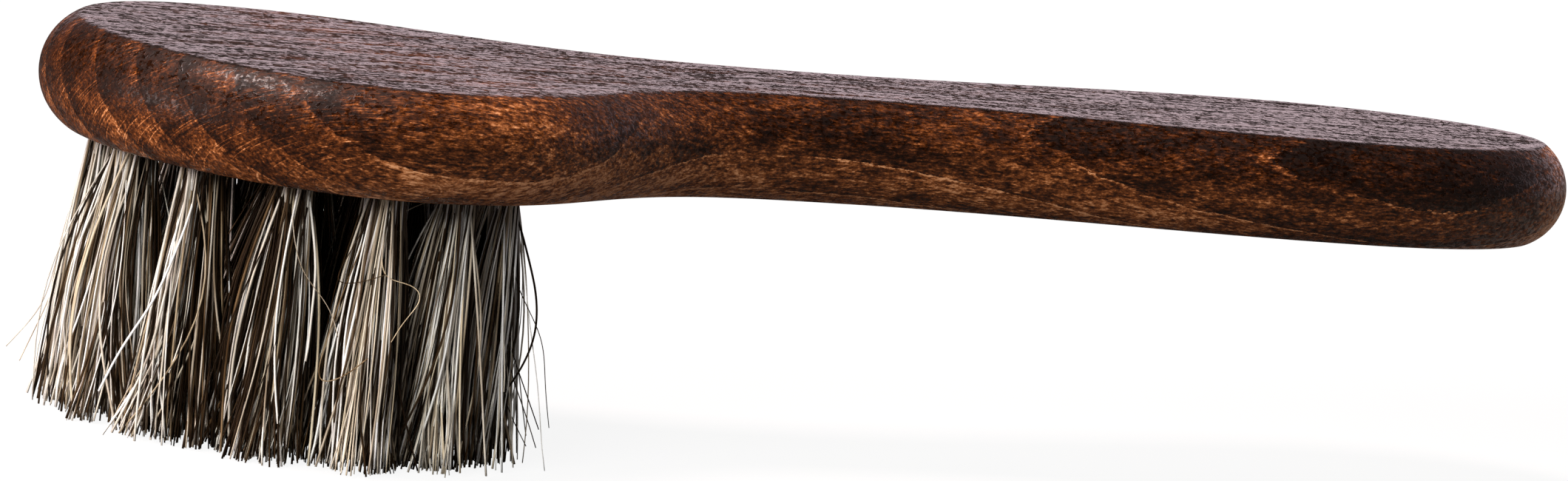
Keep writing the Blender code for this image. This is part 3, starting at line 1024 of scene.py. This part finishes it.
# %% Build tubes from paths
def tube_mesh(name, paths, reach, width, tones, warmths):
    """One mesh with a tapered tube for each path. reach is how near each row is to a tip."""
    count, steps, _ = paths.shape
    mesh = bpy.data.meshes.new(name)
    mesh.from_pydata(tube_points(paths, reach, width), [], tube_faces(count, steps))
    mesh.uv_layers.new(name="OFBake").uv.foreach_set("vector", tube_uv(count, steps))
    for label, values in (("tone", np.repeat(tones, steps * HAIR_SIDES)),
                          ("warmth", np.repeat(warmths, steps * HAIR_SIDES)),
                          ("reach", np.tile(np.repeat(reach, HAIR_SIDES), count))):
        layer = mesh.attributes.new(label, "FLOAT", "POINT")
        layer.data.foreach_set("value", values.astype(np.float32))
    mesh.shade_smooth()
    return mesh


# %% [markdown]
# Horsehair from a grey coat is mixed: near-black, brown, grey-beige and cream white hairs lie
# side by side. The tone value picks a colour on a ramp, and a slow change along the hair keeps
# any one hair from being flat. A hair is painted darker where it leaves the wood, as painted shade
# under the board, and a little paler at its cut tip, as painted light on the tips.

# %% Material: horsehair
HAIR_COLOURS = ((0.00, (0.0055, 0.0026, 0.0010)), (0.30, (0.0130, 0.0068, 0.0028)),
                (0.40, (0.0460, 0.0260, 0.0115)), (0.48, (0.1450, 0.0970, 0.0540)),
                (0.56, (0.3450, 0.2850, 0.2070)), (0.70, (0.6600, 0.6080, 0.5150)),
                (0.85, (0.8800, 0.8650, 0.8100)), (1.00, (0.9750, 0.9800, 0.9700)))
TAN = (1.00, 0.91, 0.75, 1)
TONE_DRIFT = 0.12
# Painted shade near the board, and painted light at the tips.
ROOT_SHADE = 0.72
PAINTED_TIP_LIGHT = 1.25
HAIR_IOR = 1.45
HAIR_SHEEN_COLOUR = (1.0, 0.82, 0.62, 1)


def hair_colour(tree, place, fine):
    """A hair's colour from its tone and warmth, with painted shade near the wood and light at its tip."""
    own_tone = stored(tree, "tone")
    reach = stored(tree, "reach")
    drift = maths(tree, "SUBTRACT", tone(tree, place, (0.6, 0.6, 0.11), 0.3, 0.7, 2.0), 0.5)
    moved = maths(tree, "MULTIPLY_ADD", drift, TONE_DRIFT, own_tone)
    less_on_white = spread(tree, own_tone, 1.0, 0.75, 0.2, 1.0)
    warm = times(tree, spread(tree, stored(tree, "warmth"), 0.45, 1.0), less_on_white)
    coat = mix(tree, warm, ramp(tree, moved, HAIR_COLOURS), TAN, "MULTIPLY")
    # Painted shade darkens the hair near the board, and painted light brightens its tip.
    shade = times(tree, maths(tree, "MULTIPLY_ADD", fine, 0.24, 0.84),
                  spread(tree, reach, 0.22, 0.52, ROOT_SHADE, 1.0),
                  spread(tree, reach, 0.86, 0.99, 1.0, PAINTED_TIP_LIGHT))
    return add(tree, "ShaderNodeVectorMath", {"operation": "SCALE"}, _0=coat, Scale=shade).outputs[0]


def horsehair():
    """Mixed hair, from near black to cream, with a soft shine."""
    material, tree, shader = new_material("horsehair")
    place = place_in_mm(tree)
    fine = tone(tree, place, (3.0, 3.0, 0.5), 0.2, 0.8, 2.0)
    tree.links.new(hair_colour(tree, place, fine), shader.inputs["Base Color"])
    tree.links.new(maths(tree, "MULTIPLY_ADD", fine, 0.15, 0.34), shader.inputs["Roughness"])
    shader.inputs["IOR"].default_value = HAIR_IOR
    shader.inputs["Specular Tint"].default_value = HAIR_SHEEN_COLOUR
    return material


hair_material = horsehair()
print("nodes in the horsehair:", len(hair_material.node_tree.nodes))

# %% [markdown]
# Every tuft is made the same way from its own chance, and each has its own share of pale hair.
# The inner and centre tufts get less pale hair, as painted shade between the rows. In front, the
# share differs partly because it does on the real brush, whose maker took each bundle from a mixed
# heap, and partly as painted light: the tufts at the head's left end get more pale hair, where the
# light falls. A fixed seed for each tuft gives the same brush each time.

# %% A tuft's own mix of hair
# Less pale hair inside is painted shade, and more on the left end tufts is painted light.
PALE_SHARE_AND_INNER_SHADE = {"outer": 0.49, "inner": 0.34, "centre": 0.30}
EXTRA_PALE_TONE_AND_LIGHT = {"outer_13": 0.19, "outer_01": 0.19, "outer_02": 0.08, "outer_03": -0.04, "outer_04": -0.12,
              "outer_05": 0.12, "outer_06": 0.17}
PALE_TONES = (0.53, 1.0)
DARK_TONES = (0.0, 0.45)


def hair_tones(chance, name, lock_tone):
    """A tone and a warmth for each hair of a tuft."""
    count = len(lock_tone)
    pale = PALE_SHARE_AND_INNER_SHADE[name.split("_")[0]] + EXTRA_PALE_TONE_AND_LIGHT.get(name, 0.0)
    is_pale = chance.random(count) < pale + lock_tone
    tones = np.where(is_pale, chance.uniform(*PALE_TONES, count), chance.uniform(*DARK_TONES, count))
    return tones, chance.random(count)


def place_hair(name, mesh):
    """A piece of hair, with its material and body."""
    piece = bpy.data.objects.new(name, mesh)
    bpy.context.scene.collection.objects.link(piece)
    mesh.materials.append(hair_material)
    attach(piece, "root")
    return piece


print("tufts with more or less pale hair than the rest:", len(EXTRA_PALE_TONE_AND_LIGHT))

# %% Make every tuft
HAIRS_PER_TUFT = 180
HAIR_WIDTH = (0.09 * MM, 0.26 * MM)
CLEAR_OF_ANCHOR = 0.32 * MM
LOCK_MIXING = 0.25 * MM
FIRST_SEED = 100


def make_tuft(number, name):
    """All the hairs of a tuft as one piece."""
    chance = np.random.default_rng(FIRST_SEED + number)
    centre = anchors[name]
    locks = make_locks(chance, name, centre)
    share = np.sqrt(chance.random(HAIRS_PER_TUFT))
    angle = chance.uniform(0, np.pi, HAIRS_PER_TUFT)
    root = np.stack([np.cos(angle), -np.sin(angle)], 1) * share[:, None] * ROOT_REACH
    root[:, 1] = np.minimum(root[:, 1], -CLEAR_OF_ANCHOR)
    legs = []
    for leg_root in (root, root * (1, -1)):
        gaps = np.linalg.norm(leg_root[:, None] - locks["root"][None], axis=2)
        lock = np.argmin(gaps + chance.normal(0, LOCK_MIXING, gaps.shape), axis=1)
        legs.append(make_legs(chance, leg_root, lock, locks))
        if len(legs) == 1:
            tones, warmths = hair_tones(chance, name, locks["tone"][lock])
    width = chance.uniform(*HAIR_WIDTH, HAIRS_PER_TUFT)
    paths = fold_hairs(*legs)
    paths[:, :, :2] += (centre.x, centre.y)
    reach = np.abs(np.linspace(-1, 1, paths.shape[1]))
    piece = place_hair(f"hair_{name}", tube_mesh(f"hair_{name}", paths, reach, width, tones, warmths))
    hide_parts(f"tuft_{name}")
    return piece


tufts = [make_tuft(number, name) for number, name in enumerate(TUFT_NAMES)]
print("faces of hair:", sum(len(tuft.data.polygons) for tuft in tufts))

# %% [markdown]
# A brush that has been handled also has a few loose hairs: some bow out at the side, some cross
# the others, and one has curled back on itself. Chance rarely makes a good one, so these are listed
# one by one. Each is given as the points that it passes, in millimetres across the head, seen from
# its near left, and down from its hole. The points are joined and the corners smoothed away.

# %% Loose hairs, one by one
# Tuft, tone, warmth, width, whether it lies in front of its tuft, and its points (across, down)
LOOSE_HAIRS = (
    ("outer_13", 0.66, 0.2, 0.09, False,
     ((-1.6, 1.5), (-2.6, 7.0), (-3.3, 13.0), (-3.7, 17.0), (-6.6, 21.2))),
    ("outer_13", 0.60, 0.9, 0.09, False, ((-1.5, 2.5), (-3.1, 15.5), (-5.2, 22.3))),
    ("outer_02", 1.00, 0.1, 0.24, True, ((-0.4, 5.0), (-2.1, 12.0), (-4.6, 17.0), (-5.8, 20.8))),
    ("outer_03", 0.58, 0.5, 0.08, True, ((0.6, 3.5), (1.9, 7.2), (5.3, 10.2), (6.2, 12.5))),
    ("outer_04", 0.62, 1.0, 0.10, True,
     ((1.0, 7.6), (3.6, 7.0), (5.4, 7.8), (5.0, 9.0), (3.7, 10.1), (2.8, 12.6))),
    ("outer_04", 0.34, 0.5, 0.10, True, ((-3.3, 8.5), (-0.6, 7.9), (1.4, 6.8))),
    ("outer_04", 0.49, 1.0, 0.12, True, ((-2.2, 9.0), (-3.6, 17.8), (-1.0, 16.7), (1.0, 14.3))),
    ("outer_05", 0.60, 0.2, 0.10, True, ((-2.0, 0.5), (-3.2, 1.2), (-4.4, 2.0))),
    ("outer_06", 0.05, 0.5, 0.21, False,
     ((1.7, 1.3), (2.9, 4.0), (5.0, 9.0), (5.5, 12.6), (4.6, 16.0), (3.4, 18.3))),
    ("outer_06", 0.25, 0.5, 0.09, False,
     ((1.5, 3.0), (2.6, 8.0), (6.3, 13.0), (6.9, 17.0), (7.9, 20.8))),
    ("outer_06", 0.20, 0.5, 0.12, False, ((1.6, 5.0), (2.9, 13.5), (4.3, 16.0), (7.0, 21.1))),
    ("outer_06", 0.30, 0.5, 0.11, False, ((1.6, 8.0), (3.4, 16.0), (5.6, 19.8), (7.0, 22.8))),
    ("outer_06", 0.15, 0.5, 0.10, False, ((1.6, 9.0), (3.6, 19.8), (5.1, 21.2), (6.1, 22.8))),
    ("outer_06", 0.50, 0.3, 0.27, False, ((1.4, 6.0), (3.0, 18.6), (5.3, 24.6))),
)
print("loose hairs:", len(LOOSE_HAIRS))

# %% Make the loose hairs
ACROSS = np.array([0.81, -0.58, 0.0])
NEARER = np.array([-0.58, -0.81, 0.0])
FAN_FACE = 2.2
FAN_SLOPE = 0.13
LOOSE_STEPS = 64
SMOOTHING_PASSES = 30


def loose_path(tuft, points, in_front):
    """A loose hair's path from the fold in its hole to its tip."""
    hole = Vector((anchors[tuft].x, anchors[tuft].y, HAIR_LENGTH))
    knots = [hole + Vector((0, 0, FOLD_HEIGHT)), hole]
    for across, down in points:
        nearer = FAN_FACE + FAN_SLOPE * down if in_front else 0.0
        aside = (ACROSS * across + NEARER * nearer) * MM
        knots.append(hole + Vector((aside[0], aside[1], -down * MM)))
    knots = np.array(knots)
    distance = np.concatenate([[0], np.cumsum(np.linalg.norm(np.diff(knots, axis=0), axis=1))])
    at = np.linspace(0, distance[-1], LOOSE_STEPS)
    path = np.stack([np.interp(at, distance, knots[:, k]) for k in range(3)], 1)
    for _ in range(SMOOTHING_PASSES):
        path[1:-1] = (path[:-2] + 2 * path[1:-1] + path[2:]) / 4
    return path


loose_paths = np.stack([loose_path(tuft, points, front) for tuft, _, _, _, front, points in LOOSE_HAIRS])
loose_tones, loose_warmths, loose_widths = (np.array([hair[k] for hair in LOOSE_HAIRS]) for k in (1, 2, 3))
loose_mesh = tube_mesh("loose_hairs", loose_paths, np.linspace(0, 1, LOOSE_STEPS), loose_widths * MM,
                       loose_tones, loose_warmths)
place_hair("loose_hairs", loose_mesh)
print("faces of loose hair:", len(loose_mesh.polygons))

# %% [markdown]
# The anchors stay as the frame has them, since their shape is already right. They are cut from
# drawn flat wire: steel with fine lines along it and a few dull patches.

# %% Material: drawn wire
BRIGHT_STEEL = (0.62, 0.61, 0.58, 1)
DULL_STEEL = (0.36, 0.33, 0.29, 1)


def drawn_wire():
    """Flat steel wire with fine lines from the die, and duller patches."""
    material, tree, shader = new_material("anchor_wire")
    place = place_in_mm(tree)
    lines = noise(tree, place, (0.4, 14.0, 14.0), detail=3.0)
    dull = maths(tree, "MULTIPLY", tone(tree, place, (0.9, 1.5, 1.5), 0.45, 0.65), 0.6)
    tree.links.new(mix(tree, dull, BRIGHT_STEEL, DULL_STEEL), shader.inputs["Base Color"])
    tree.links.new(maths(tree, "MULTIPLY_ADD", lines, 0.3, 0.2), shader.inputs["Roughness"])
    bump = add(tree, "ShaderNodeBump", None, Height=lines, Strength=0.4, Distance=0.02 * MM)
    tree.links.new(bump.outputs["Normal"], shader.inputs["Normal"])
    shader.inputs["Metallic"].default_value = 1.0
    return material


wire_material = drawn_wire()
for name in TUFT_NAMES:
    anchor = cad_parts[f"anchor_{name}"]
    anchor.data.materials.clear()
    anchor.data.materials.append(wire_material)
print("anchors of drawn wire:", len(TUFT_NAMES))
